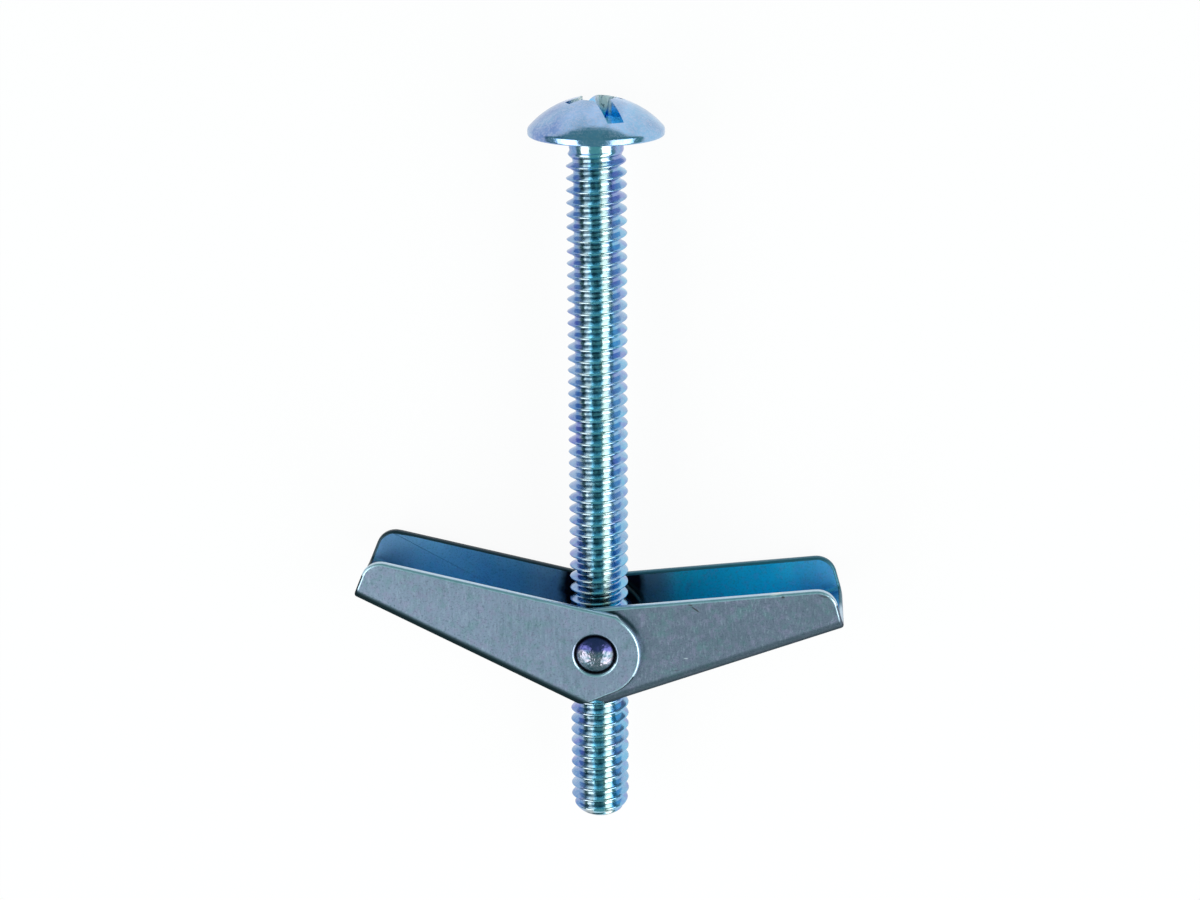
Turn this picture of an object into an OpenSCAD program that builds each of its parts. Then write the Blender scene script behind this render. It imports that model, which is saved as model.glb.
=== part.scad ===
// Spring toggle bolt, lying on its side. Millimetres.
// The screw runs along Y with its head towards +Y, and the wings swing about Z.
// The origin is the centre of the head's bearing face.

/* [Screw] */
// Length under the head
screw_length = 75.3; // [50:0.1:127]
// Major diameter of the thread
thread_d = 6.26; // [5:0.01:8]
// Depth of the plain neck below the thread's crests
neck_step = 0.33; // [0.1:0.01:0.6]
// Length of the plain neck
neck_length = 2.1; // [0.5:0.1:4]
// Rounding at the screw's tip
tip_round = 2.4; // [0.5:0.1:2.4]

/* [Head] */
// Diameter of the head
head_d = 14; // [11:0.1:18]
// Height of the head
head_height = 3.95; // [3.2:0.05:5]
// Height of the widest part of the rim
rim_height = 0.55; // [0.5:0.05:1.2]
// Width of the slot
slot_width = 1.75; // [1:0.05:2.2]
// Depth of the slot below the top of the dome
slot_depth = 1.9; // [1:0.1:2.4]
// Angle between the slot and the wings' pivot
slot_angle = 25; // [0:5:90]
// Half length of the cross recess at the top of the dome
cross_reach = 3.5; // [2.5:0.1:4.5]
// Width of the arms of the cross recess
cross_arm = 1.2; // [1:0.05:2]
// Depth of the cross recess below the top of the dome
cross_depth = 2.9; // [2:0.1:3.2]

/* [Nut] */
// Distance from the screw's tip to the pivot
tip_to_pivot = 20.9; // [8:0.1:32]
// Wall of the nut's barrel beside the thread
barrel_wall = 0.97; // [0.7:0.01:1.4]
// Wall of the nut's barrel at its ends
barrel_cover = 0.1; // [0.05:0.05:0.5]
// Step from the barrel down to the shoulders that carry the spring
shoulder_step = 0.9; // [0.7:0.05:1.2]
// Diameter of the trunnions
trunnion_d = 4.24; // [3:0.02:5]
// How far a trunnion's dome stands proud of the outer ear
trunnion_proud = 0.5; // [0.2:0.05:1]
// Height of the dome on a trunnion's end
trunnion_dome = 0.9; // [0.3:0.1:1.2]

/* [Wings] */
// Sheet thickness
sheet = 0.85; // [0.6:0.05:1]
// Length from the pivot to the wing's tip
wing_length = 26.4; // [18:0.1:30]
// Height of the bearing edge above the pivot, and the radius of the ears
edge_height = 4.8; // [4:0.1:6]
// Room between the ears and the inner face of the web
web_room = 0.61; // [0.5:0.01:1.5]
// Angle between the web and the bearing edge
web_taper = 14; // [8:0.5:16]
// Inner radius of the folds
fold_inner = 0.55; // [0.2:0.05:0.7]
// Rounding of the tip's upper corner
tip_corner = 2.2; // [0.5:0.1:2.5]
// Rise of the left wing's bearing edge
left_angle = 12.4; // [8:0.1:20]
// Rise of the right wing's bearing edge
right_angle = 6.3; // [4:0.1:20]

/* [Spring] */
// Diameter of the wire
wire_d = 0.48; // [0.3:0.02:0.6]
// Spare room for the coils along the pivot
coil_slack = 0.06; // [0.05:0.01:1]
// Length of the straight legs
leg_length = 9; // [6:0.5:14]
// Inner radius of the bends into the bridge
bridge_bend = 0.6; // [0.4:0.1:1.2]

/* [Fits] */
// Radial clearance between screw and nut
thread_gap = 0.05; // [0.02:0.01:0.1]
// Radial clearance between trunnion and ear
pivot_gap = 0.08; // [0.02:0.01:0.1]
// Gap between the ears of the two wings
ear_gap = 0.08; // [0.05:0.01:0.3]
// Clearance of the spring from the nut and the ears
spring_gap = 0.03; // [0.02:0.01:0.05]
// Clearance of the spring's ends from the webs
web_rest = 0.14; // [0.12:0.01:0.3]
// Gap between the screw and the end of the nearer web
stop_gap = 0.25; // [0.1:0.05:0.6]

/* [Hidden] */
$fn = 96;

thread_r = thread_d / 2;
bore_r = thread_r + thread_gap;
nut_place = screw_length - tip_to_pivot;
// How far cutting shapes run past a surface, and past the whole part
over = 1;
far = 60;

// Head: a dome that meets a rounded rim
head_r = head_d / 2;
rim_round = 0.45;
seat_round = 0.2;
dome_rise = head_height - rim_height;
dome_radius = ((head_r - rim_round) ^ 2 + dome_rise ^ 2 - rim_round ^ 2) / (2 * (dome_rise - rim_round));
dome_centre = head_height - dome_radius;
dome_reach = (head_r - rim_round) * dome_radius / (dome_radius - rim_round);

// Cross recess: tapered arms and a round core
floor_reach = 0.42 * cross_reach;
open_reach = cross_reach + over * (cross_reach - floor_reach) / cross_depth;
core_open_r = 2.1;
core_floor_r = 1.15;
core_tip_r = 0.3;
core_tip = 0.35;

// Along the pivot: barrel, coils on the shoulders, then one wing's ear inside the other's
shoulder_start = bore_r + barrel_cover;
inner_face = shoulder_start + 2 * wire_d + 2 * spring_gap + coil_slack;
barrel_end = inner_face - ear_gap;
outer_face = inner_face + 2 * sheet + ear_gap;
side_shift = (sheet + ear_gap) / 2;
wing_width = 2 * (outer_face - side_shift);
trunnion_end = outer_face + trunnion_proud;
barrel_r = thread_r + barrel_wall;
shoulder_r = barrel_r - shoulder_step;
trunnion_r = trunnion_d / 2;
trunnion_ball = (trunnion_r ^ 2 + trunnion_dome ^ 2) / (2 * trunnion_dome);

// Outline of a wing: its straight edges run a hair inside the round of the ear
ear_hair = 0.02;
ear_radius = edge_height - ear_hair;
fold_radius = fold_inner + sheet;
edge_overrun = 1.3;
heel_reach = 0.5;
tip_slant = 0.8;

// Depth of the web's faces below the pivot, and where the web ends
web_inside = (edge_height + web_room) / cos(web_taper);
web_depth = web_inside + sheet / cos(web_taper);
stop_reach = thread_r + stop_gap;
low_angle = min(left_angle, right_angle);
web_start = (stop_reach - web_inside * sin(low_angle)) / (cos(low_angle) - tan(web_taper) * sin(low_angle));
notch_half = thread_r + stop_gap + side_shift;

// Spring: two coils, four legs and a bridge, along one wire
coil_r = shoulder_r + spring_gap + wire_d / 2;
coil_first = shoulder_start + spring_gap + wire_d / 2;
coil_last = inner_face - spring_gap - wire_d / 2;
web_distance = web_inside * cos(web_taper) - wire_d / 2 - web_rest;
leg_lean = asin((web_distance - coil_r) / leg_length);
left_leg = left_angle + web_taper - leg_lean;
right_leg = right_angle + web_taper - leg_lean;
coil_turn = 360 + left_leg + right_leg;
bend_r = bridge_bend + wire_d / 2;
COIL_STEPS = 40;
BEND_STEPS = 5;
WIRE_SIDES = 10;

function leg_way(side, angle) = [side * cos(angle), sin(angle), 0];
function leg_foot(side, angle, z) = [coil_r * side * sin(angle), -coil_r * cos(angle), z];
function turned(way) = [-way[1], way[0], 0];
left_way = leg_way(-1, left_leg);
right_way = leg_way(1, right_leg);

// Each station of the wire is a point and the direction of its side
function free_end() = [leg_foot(1, right_leg, coil_first) + leg_length * right_way, -turned(right_way)];
function coil_stations() = [
    for (i = [0 : COIL_STEPS])
        let (share = i / COIL_STEPS, angle = 270 + right_leg - share * coil_turn)
            [
                [coil_r * cos(angle), coil_r * sin(angle), coil_first + share * (coil_last - coil_first)],
                [cos(angle), sin(angle), 0]
            ]
];
function bend_stations() = [
    for (i = [0 : BEND_STEPS])
        let (angle = 90 * i / BEND_STEPS)
            [
                leg_foot(-1, left_leg, coil_last - bend_r * (1 - cos(angle)))
                    + (leg_length - bend_r * (1 - sin(angle))) * left_way,
                turned(left_way)
            ]
];
function front_half() = concat([free_end()], coil_stations(), bend_stations());
function flipped(station) = [[station[0][0], station[0][1], -station[0][2]], station[1]];
function wire_stations() =
    let (front = front_half(), count = len(front))
        concat(front, [for (i = [count - 1 : -1 : 0]) flipped(front[i])]);

module along_screw() {
    rotate([-90, 0, 0]) children();
}

module head_profile() {
    intersection() {
        translate([0, dome_centre]) circle(r = dome_radius, $fn = 180);
        square([dome_reach, head_height]);
    }
    square([head_r - seat_round, rim_height]);
    translate([0, seat_round]) square([head_r, rim_height - seat_round]);
    translate([head_r - rim_round, rim_height]) circle(r = rim_round);
    translate([head_r - seat_round, seat_round]) circle(r = seat_round);
}

module cross_wedge(angle) {
    rotate([0, 0, angle])
        rotate([90, 0, 0])
            linear_extrude(cross_arm, center = true)
                polygon([
                    [-open_reach, over],
                    [-floor_reach, -cross_depth],
                    [floor_reach, -cross_depth],
                    [open_reach, over]
                ]);
}

module drive_recess() {
    translate([-far / 2, -slot_width / 2, -slot_depth]) cube([far, slot_width, far]);
    cross_wedge(0);
    cross_wedge(90);
    translate([0, 0, -cross_depth])
        rotate_extrude()
            polygon([
                [0, -core_tip],
                [core_tip_r, -core_tip],
                [core_floor_r, 0],
                [core_open_r, cross_depth + over],
                [0, cross_depth + over]
            ]);
}

module machine_screw() {
    color("lightsteelblue")
        along_screw() {
            difference() {
                rotate_extrude() head_profile();
                translate([0, 0, head_height]) rotate([0, 0, 90 + slot_angle]) drive_recess();
            }
            translate([0, 0, -screw_length]) rotate_extrude() shank_profile();
        }
}

module shank_profile() {
    square([thread_r - tip_round, screw_length]);
    translate([0, tip_round]) square([thread_r, screw_length - tip_round - neck_length]);
    translate([0, tip_round]) square([thread_r - neck_step, screw_length - tip_round]);
    intersection() {
        translate([thread_r - tip_round, tip_round]) circle(r = tip_round);
        square([thread_r, 2 * tip_round]);
    }
}

module half_nut() {
    cylinder(h = shoulder_start, r = barrel_r);
    cylinder(h = barrel_end, r = shoulder_r);
    intersection() {
        cylinder(h = trunnion_end, r = trunnion_r);
        translate([0, 0, trunnion_end - trunnion_ball]) sphere(r = trunnion_ball, $fn = 180);
    }
}

module trunnion_nut() {
    color("slategray")
        translate([0, -nut_place, 0])
            difference() {
                union() {
                    half_nut();
                    mirror([0, 0, 1]) half_nut();
                }
                along_screw() cylinder(h = far, r = bore_r, center = true);
            }
}

// Where a line from an outside point touches the ear, on the side that turn gives
function ear_touch(point, turn) =
    let (angle = atan2(point[1], point[0]) + turn * acos(ear_radius / norm(point)))
        (ear_radius - ear_hair) * [cos(angle), sin(angle)];

function past(from, point) = point + over * (point - from) / norm(point - from);

// Outline of a wing seen along its pivot: bearing edge on top, tip at the right, open below the web
module wing_outline() {
    edge_start = [-edge_overrun, edge_height];
    edge_end = [wing_length - tip_slant, edge_height];
    web_end = [wing_length, wing_length * tan(web_taper) - web_depth];
    heel = [heel_reach, heel_reach * tan(web_taper) - web_depth];
    heel_touch = ear_touch(heel, -1);
    circle(r = ear_radius);
    difference() {
        polygon([
            edge_start,
            edge_end,
            past(edge_end, web_end),
            past(heel_touch, heel),
            heel_touch,
            ear_touch(edge_start, 1)
        ]);
        corner_waste(edge_end, web_end, tip_corner);
    }
}

// The part of a square-cut corner that lies outside its rounding
module corner_waste(corner, below, radius) {
    slope = atan2(below[1] - corner[1], below[0] - corner[0]);
    side_way = [-sin(slope), cos(slope)];
    centre = corner - [radius / tan((180 + slope) / 2), radius];
    difference() {
        polygon([
            centre,
            centre + (radius + over) * side_way,
            corner + over * (side_way + [0, 1]),
            centre + [0, radius + over]
        ]);
        translate(centre) circle(r = radius);
    }
}

module fold_section(width, radius) {
    difference() {
        square([width, far]);
        fold_waste(radius);
        translate([width, 0]) mirror([1, 0]) fold_waste(radius);
    }
}

module fold_waste(radius) {
    difference() {
        translate([-over, -over]) square(radius + over);
        translate([radius, radius]) circle(r = radius);
    }
}

// A bar with rounded lower edges that lies along the web
module fold_bar(depth, width, radius) {
    rotate([0, 0, web_taper])
        translate([-far, -depth * cos(web_taper), width / 2])
            rotate([0, 90, 0])
                linear_extrude(2 * far) fold_section(width, radius);
}

module wing() {
    difference() {
        fold_bar(web_depth, wing_width, fold_radius);
        linear_extrude(2 * wing_width, center = true)
            difference() {
                square(4 * far, center = true);
                wing_outline();
            }
        fold_bar(web_inside, wing_width - 2 * sheet, fold_inner);
        cylinder(h = far, r = trunnion_r + pivot_gap, center = true);
        web_notch();
    }
}

// Round-ended notch that lets the web past the screw
module web_notch() {
    translate([web_start - notch_half, 0, 0])
        rotate([90, 0, 0]) cylinder(h = far, r = notch_half);
    translate([web_start - notch_half - far, -far, -notch_half]) cube([far, far, 2 * notch_half]);
}

module right_wing() {
    color("lightslategray")
        translate([0, -nut_place, -side_shift]) rotate([0, 0, right_angle]) wing();
}

module left_wing() {
    color("cadetblue")
        translate([0, -nut_place, side_shift]) rotate([0, 180, 0]) rotate([0, 0, left_angle]) wing();
}

// A round wire through a list of stations
module wire(stations) {
    count = len(stations);
    ways = [
        for (i = [0 : count - 1])
            let (a = stations[max(i - 1, 0)][0], b = stations[min(i + 1, count - 1)][0])
                (b - a) / norm(b - a)
    ];
    rings = [
        for (i = [0 : count - 1])
            let (side = stations[i][1], up = cross(ways[i], side) / norm(cross(ways[i], side)))
                for (k = [0 : WIRE_SIDES - 1])
                    let (angle = 360 * k / WIRE_SIDES)
                        stations[i][0] + wire_d / 2 * (cos(angle) * side + sin(angle) * up)
    ];
    walls = [
        for (i = [0 : count - 2], k = [0 : WIRE_SIDES - 1])
            let (a = i * WIRE_SIDES + k, b = i * WIRE_SIDES + (k + 1) % WIRE_SIDES)
                [a, b, b + WIRE_SIDES, a + WIRE_SIDES]
    ];
    first_end = [for (k = [WIRE_SIDES - 1 : -1 : 0]) k];
    last_end = [for (k = [0 : WIRE_SIDES - 1]) (count - 1) * WIRE_SIDES + k];
    polyhedron(points = rings, faces = concat([first_end], walls, [last_end]), convexity = 10);
}

module spring() {
    color("gainsboro") translate([0, -nut_place, 0]) wire(wire_stations());
}

machine_screw();
trunnion_nut();
left_wing();
right_wing();
spring();
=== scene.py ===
# %% [markdown]
# # A spring toggle bolt
#
# A toggle bolt holds things on hollow walls. Two sprung wings of folded sheet
# steel sit on a small nut, and a long machine screw runs through the nut. The
# wings fold back along the screw to pass a hole, and spring open behind it.
#
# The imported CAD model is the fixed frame: it has the right sizes and places,
# and this script adds the thread, the soft edges and the finishes. Every length
# is in metres, and a piece goes where the CAD's own boxes say.

# %% Load the frame
import math

import bmesh
import bpy
from mathutils import Matrix, Vector, noise


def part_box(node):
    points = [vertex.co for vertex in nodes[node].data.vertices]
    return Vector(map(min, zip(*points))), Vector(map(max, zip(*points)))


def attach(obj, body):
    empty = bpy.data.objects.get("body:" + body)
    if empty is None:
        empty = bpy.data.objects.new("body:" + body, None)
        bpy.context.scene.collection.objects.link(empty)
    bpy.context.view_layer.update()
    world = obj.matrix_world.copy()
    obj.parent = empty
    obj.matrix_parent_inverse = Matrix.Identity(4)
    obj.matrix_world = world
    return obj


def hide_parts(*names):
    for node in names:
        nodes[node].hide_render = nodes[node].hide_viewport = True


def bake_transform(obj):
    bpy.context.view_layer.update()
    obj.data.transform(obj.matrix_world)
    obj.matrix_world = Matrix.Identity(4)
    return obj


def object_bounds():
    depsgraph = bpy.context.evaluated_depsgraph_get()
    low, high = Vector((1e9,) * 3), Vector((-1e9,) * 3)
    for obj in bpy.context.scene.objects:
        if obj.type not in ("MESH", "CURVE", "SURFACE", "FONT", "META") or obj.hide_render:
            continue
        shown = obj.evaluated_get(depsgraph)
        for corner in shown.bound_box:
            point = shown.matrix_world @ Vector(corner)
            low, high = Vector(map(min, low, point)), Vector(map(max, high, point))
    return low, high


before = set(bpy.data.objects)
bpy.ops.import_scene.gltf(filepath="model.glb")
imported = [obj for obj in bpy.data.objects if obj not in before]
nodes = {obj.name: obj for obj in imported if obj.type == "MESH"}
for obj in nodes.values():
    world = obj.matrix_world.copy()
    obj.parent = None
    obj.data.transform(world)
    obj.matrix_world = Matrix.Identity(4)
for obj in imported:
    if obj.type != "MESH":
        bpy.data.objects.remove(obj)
scene = bpy.context.scene
cad_low, cad_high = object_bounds()
MM = 0.001
print("CAD box in mm:", [round(v / MM, 2) for v in (cad_high - cad_low)])

# %% [markdown]
# ## Measures from the frame
#
# The screw lies along Y with its head at +Y, and the wings swing about Z. The
# head's bearing face is at Y = 0, so most measures follow from a few boxes, and
# they stay right if the CAD model changes. The recess takes the very top of the
# head's dome away, so the dome rises a little above its box.

# %% Read the measures
screw_low, screw_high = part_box("machine_screw")
nut_low, nut_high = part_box("trunnion_nut")
left_low, left_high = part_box("left_wing")
right_low, right_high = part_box("right_wing")

HEAD_R = screw_high.z
PIVOT_Y = (nut_low.y + nut_high.y) / 2
BARREL_R = nut_high.x
PIN_TOP = nut_high.z
EAR_R = left_high.x
TIP_Y = screw_low.y
DOME_LOST = 0.18 * MM
HEAD_TOP = screw_high.y + DOME_LOST
print("pivot at y =", round(PIVOT_Y / MM, 2), "mm, tip at", round(TIP_Y / MM, 2))

# %% [markdown]
# ## Camera
#
# A long lens a quarter of a metre away looks down on the bolt from the head's
# side, so the wings' far flanges show above the near ones. The camera is turned
# with three small angles, and its place is then set to fit.

# %% Place the camera
def placed(name, data):
    """A new object in the scene, at the origin."""
    thing = bpy.data.objects.new(name, data)
    scene.collection.objects.link(thing)
    return thing


camera_data = bpy.data.cameras.new("camera")
camera_data.sensor_width = 36.0
camera_data.lens = 74.62
camera_data.clip_start = 0.01
camera_data.clip_end = 20.0
CAMERA_PLACE = (0.019504, 0.044426, 0.250081)
camera = placed("camera", camera_data)
scene.camera = camera
tilt = Matrix.Rotation(math.radians(17.319), 3, "X")
swing = Matrix.Rotation(math.radians(-4.217), 3, "Y")
roll = Matrix.Rotation(math.radians(-0.95), 3, "Z")
to_camera = roll @ swing @ tilt
camera.matrix_world = Matrix.Translation(CAMERA_PLACE) @ to_camera.transposed().to_4x4()
print("camera", round(camera.location.length, 3), "m from the head's seat")

# %% [markdown]
# ## Shader maths as plain expressions
#
# A material is easier to read as a formula. The small class below wraps an
# output socket, so that a line such as `1 - mask * 0.5` adds the Math nodes by
# itself. Any other node comes from one method, `make`.

# %% A wrapper for sockets
class Value:
    def __init__(self, shader, socket):
        self.shader = shader
        self.socket = socket

    def math(self, operation, other=None, swap=False):
        inputs = [self, other] if other is not None else [self]
        if swap:
            inputs.reverse()
        return self.shader.make("Math", {"operation": operation}, inputs)

    def __add__(self, other):
        return self.math("ADD", other)

    def __radd__(self, other):
        return self.math("ADD", other)

    def __sub__(self, other):
        return self.math("SUBTRACT", other)

    def __rsub__(self, other):
        return self.math("SUBTRACT", other, swap=True)

    def __mul__(self, other):
        return self.math("MULTIPLY", other)

    def __rmul__(self, other):
        return self.math("MULTIPLY", other)

    def clamped(self):
        return self.shader.make("Clamp", {}, [self])


class Shader:
    def __init__(self, name):
        self.material = bpy.data.materials.new(name)
        self.material.use_nodes = True
        self.tree = self.material.node_tree
        self.tree.nodes.clear()

    def make(self, kind, settings, inputs, output=0):
        node = self.tree.nodes.new("ShaderNode" + kind)
        for key, value in settings.items():
            setattr(node, key, value)
        pairs = inputs.items() if isinstance(inputs, dict) else enumerate(inputs)
        for key, value in pairs:
            self.feed(node.inputs[key], value)
        return Value(self, node.outputs[output]) if len(node.outputs) else None

    def feed(self, socket, value):
        if isinstance(value, Value):
            self.tree.links.new(value.socket, socket)
        else:
            socket.default_value = value

    def mix(self, low, high, share):
        inputs = {"Factor": share, 6: low, 7: high}
        return self.make("Mix", {"data_type": "RGBA"}, inputs, output=2)

    def where(self):
        return self.make("TexCoord", {}, [], output="Object")

    def axes(self):
        """The place on the piece as three numbers, in metres."""
        return [self.make("SeparateXYZ", {}, [self.where()], output=axis) for axis in "XYZ"]

    def attribute(self, name):
        return self.make("Attribute", {"attribute_name": name}, [], output="Fac")

    def nick(self, centre, long, wide, lean):
        """1 inside a small leaf shape that lies flat in X and Y, 0 outside it."""
        inputs = {
            "Vector": self.where(),
            "Location": (*centre, PIN_TOP),
            "Rotation": (0, 0, math.radians(lean)),
            "Scale": (long, wide, PIN_TOP),
        }
        leaf = self.make("Mapping", {"vector_type": "TEXTURE"}, inputs)
        reach = self.make("VectorMath", {"operation": "LENGTH"}, [leaf], output="Value")
        return self.spread(reach, 1.1, 0.5)

    def grain(self, size, detail=3.0, roughness=0.5, stretch=(1, 1, 1)):
        """Soft noise with spots about as large as size, narrower where stretch is more than 1."""
        scale = tuple(s / size for s in stretch)
        where = self.make("Mapping", {}, {"Vector": self.where(), "Scale": scale})
        inputs = {"Vector": where, "Scale": 1.0, "Detail": detail, "Roughness": roughness}
        return self.make("TexNoise", {}, inputs)

    def spread(self, value, low, high):
        """0 at low, 1 at high, and a soft step between them."""
        inputs = {"Value": value, "From Min": low, "From Max": high}
        return self.make("MapRange", {"interpolation_type": "SMOOTHSTEP"}, inputs)

    def bump(self, height, distance, strength):
        inputs = {"Height": height, "Distance": distance, "Strength": strength}
        return self.make("Bump", {}, inputs)

    def surface(self, inputs):
        shader = self.make("BsdfPrincipled", {}, inputs)
        self.make("OutputMaterial", {}, {"Surface": shader})
        return self.material


# %% [markdown]
# ## Blue zinc
#
# The steel is zinc plated and passivated, which leaves a thin film with a cold
# blue cast. The film is uneven, so its colour drifts in clouds a few
# millimetres wide. A mirror would show only the room, so most of the look is
# in the roughness: the rolled thread is bright, and the pressed sheet is dull.
# One metal colour would look like plastic, so each finish below mixes several tones of film over the
# piece's own coordinates, and paints some light and shade into them as well.

# %% What every zinc finish shares
def rgba(red, green, blue):
    return (red, green, blue, 1.0)


def film(shader, pale, deep, cloud):
    """Two tones of film, in clouds of the given size."""
    clouds = shader.spread(shader.grain(cloud, detail=4.0), 0.36, 0.66)
    return shader.mix(pale, deep, clouds), clouds


def scratched(shader, stretch, depth):
    """Fine lines and a few dots, as a tone and as a bump of the given depth."""
    lines = shader.grain(0.2 * MM, detail=2.0, stretch=stretch)
    dots = shader.spread(shader.grain(0.3 * MM, detail=2.0), 0.55, 0.75)
    return lines, shader.bump(lines * 0.5 + dots * 0.3, depth, 0.6)


def metal(shader, color, roughness, normal):
    inputs = {"Base Color": color, "Metallic": 1.0, "Roughness": roughness.clamped(), "Normal": normal}
    return shader.surface(inputs)


# %% [markdown]
# The screw's colour drifts across it from lavender through teal to blue, which is painted reflection.
# Along a stripe down the thread, painted reflection tones follow the lamps' bright lines and the dark
# between them, and painted shade darkens the roots. In the recess a deep blue is painted for the light
# bounced between its walls. The middle, worn down to bare zinc by the driver, is painted near white,
# which also stands in for a highlight. The recess can't be told from the dome by a plain rule on
# place, so the mesh carries an attribute for it.

# %% Screw
def screw_finish():
    shader = Shader("screw_blue_zinc")
    x, y, z = shader.axes()
    across = x + 0.8 * MM * (shader.grain(2 * MM) - 0.5)
    radius = (x * x + z * z).math("SQRT")
    # painted reflection: the colour drifts from lavender on the screw's left side to blue on its right
    reflection_drift = shader.spread(across, -2.4 * MM, 2.8 * MM)
    below_head = shader.spread(y, 0.2 * MM, -0.4 * MM)
    lavender = shader.mix(rgba(0.155, 0.265, 0.54), rgba(0.095, 0.25, 0.53), below_head)
    blue = shader.mix(rgba(0.27, 0.51, 0.76), rgba(0.2, 0.53, 0.77), below_head)
    hue = shader.mix(lavender, blue, reflection_drift)
    # painted reflection: the middle of the head's dome is painted a lighter blue
    crown_reflection = shader.spread(across.math("ABSOLUTE"), 4.2 * MM, 2.2 * MM) * (1 - below_head)
    hue = shader.mix(hue, rgba(0.4, 0.6, 0.9), crown_reflection * 0.7)
    color, clouds = film(shader, hue, rgba(0.26, 0.43, 0.66), 2.5 * MM)
    mottle = shader.spread(shader.grain(0.28 * MM, detail=3.0, roughness=0.75), 0.44, 0.62)
    color = shader.mix(color, rgba(0.56, 0.6, 0.8), mottle * (0.42 - 0.14 * below_head))

    # here and there the thread's film turns violet
    violet = shader.spread(shader.grain(2.2 * MM, detail=3.0), 0.5, 0.64)
    color = shader.mix(color, rgba(0.27, 0.2, 0.6), violet * below_head * 0.4)

    # along a stripe down the thread, painted reflection tones follow the lamps' bright lines: neutral
    # in them and teal-blue in the dark middle between them
    middle = shader.spread(across, 1.8 * MM, 1.25 * MM)
    middle = middle * shader.spread(across, -2.0 * MM, -1.3 * MM)
    centre = shader.spread(across.math("ABSOLUTE"), 0.8 * MM, 0.4 * MM)
    right_side = shader.spread(across, -0.6 * MM, 0.6 * MM)
    painted_highlight = shader.mix(rgba(0.49, 0.56, 0.57), rgba(0.62, 0.71, 0.67), right_side)
    stripe_reflection = shader.mix(painted_highlight, rgba(0.42, 0.8, 0.97), centre)
    color = shader.mix(color, stripe_reflection, middle * below_head * 0.88)
    patch = shader.spread(shader.grain(0.6 * MM, detail=3.0), 0.36, 0.6)
    # painted shade darkens the thread's roots in patches, most left of the stripe
    root_shade = shader.spread(radius, 2.8 * MM, 2.5 * MM) * below_head
    left_of_stripe = 0.25 + 0.75 * shader.spread(across, 1.0 * MM, 0.1 * MM)
    root_shade = root_shade * middle * left_of_stripe * (0.5 + 0.5 * patch)
    color = shader.mix(color, rgba(0.012, 0.066, 0.11), root_shade * 0.82)

    # in the recess a deep blue is painted for the light bounced between its walls, and the core worn
    # by the driver is painted near white, which also stands in for a highlight
    recess = shader.attribute("recess")
    depth = shader.spread(y, HEAD_TOP - 0.5 * MM, HEAD_TOP - 1.3 * MM)
    color = shader.mix(color, rgba(0.032, 0.57, 1.0), recess * depth)
    bare_and_highlight = recess * shader.spread(radius, 2.9 * MM, 2.3 * MM) * shader.spread(z, 1.8 * MM, 1.1 * MM)
    bare_and_highlight = bare_and_highlight * shader.spread(y, HEAD_TOP - 2.0 * MM, HEAD_TOP - 1.2 * MM)
    color = shader.mix(color, rgba(0.94, 0.96, 0.97), bare_and_highlight)
    chips = shader.spread(shader.grain(0.5 * MM, detail=3.0, roughness=0.7), 0.55, 0.62)
    color = shader.mix(color, rgba(0.05, 0.09, 0.13), chips * bare_and_highlight * 0.75)
    lines, normal = scratched(shader, (0.1, 1, 0.1), 0.008 * MM)
    roughness = 0.12 + 0.1 * clouds + 0.12 * (lines - 0.5) + 0.08 * mottle + 0.4 * bare_and_highlight
    return shader.surface(
        {
            "Base Color": color,
            "Metallic": (1 - 0.5 * bare_and_highlight).clamped(),
            "Roughness": roughness.clamped(),
            "Normal": normal,
        }
    )


# %% [markdown]
# The wings are dull outside. Inside the channel, deep blue tones of painted light stand in for the
# light bounced between the flanges, brightest towards the root against its shade, and painted shade
# makes the root itself nearly black. Painted shade darkens the outside of each fold, which is also
# matt where it turns furthest. The upper flange's edges are painted lighter as a highlight, those
# under it and deep in the channel get painted shade, and a painted shadow of one wing's ear lies on
# the other wing. Attributes on the mesh say where inside, fold and edge are: a rule on place alone
# would follow neither the taper nor the bends.

# %% Wings
SHADE_BLACK = rgba(0.015, 0.015, 0.03)
DARK_MARK = rgba(0.05, 0.045, 0.05)
PALE_MARK = rgba(0.8, 0.88, 0.9)


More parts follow.
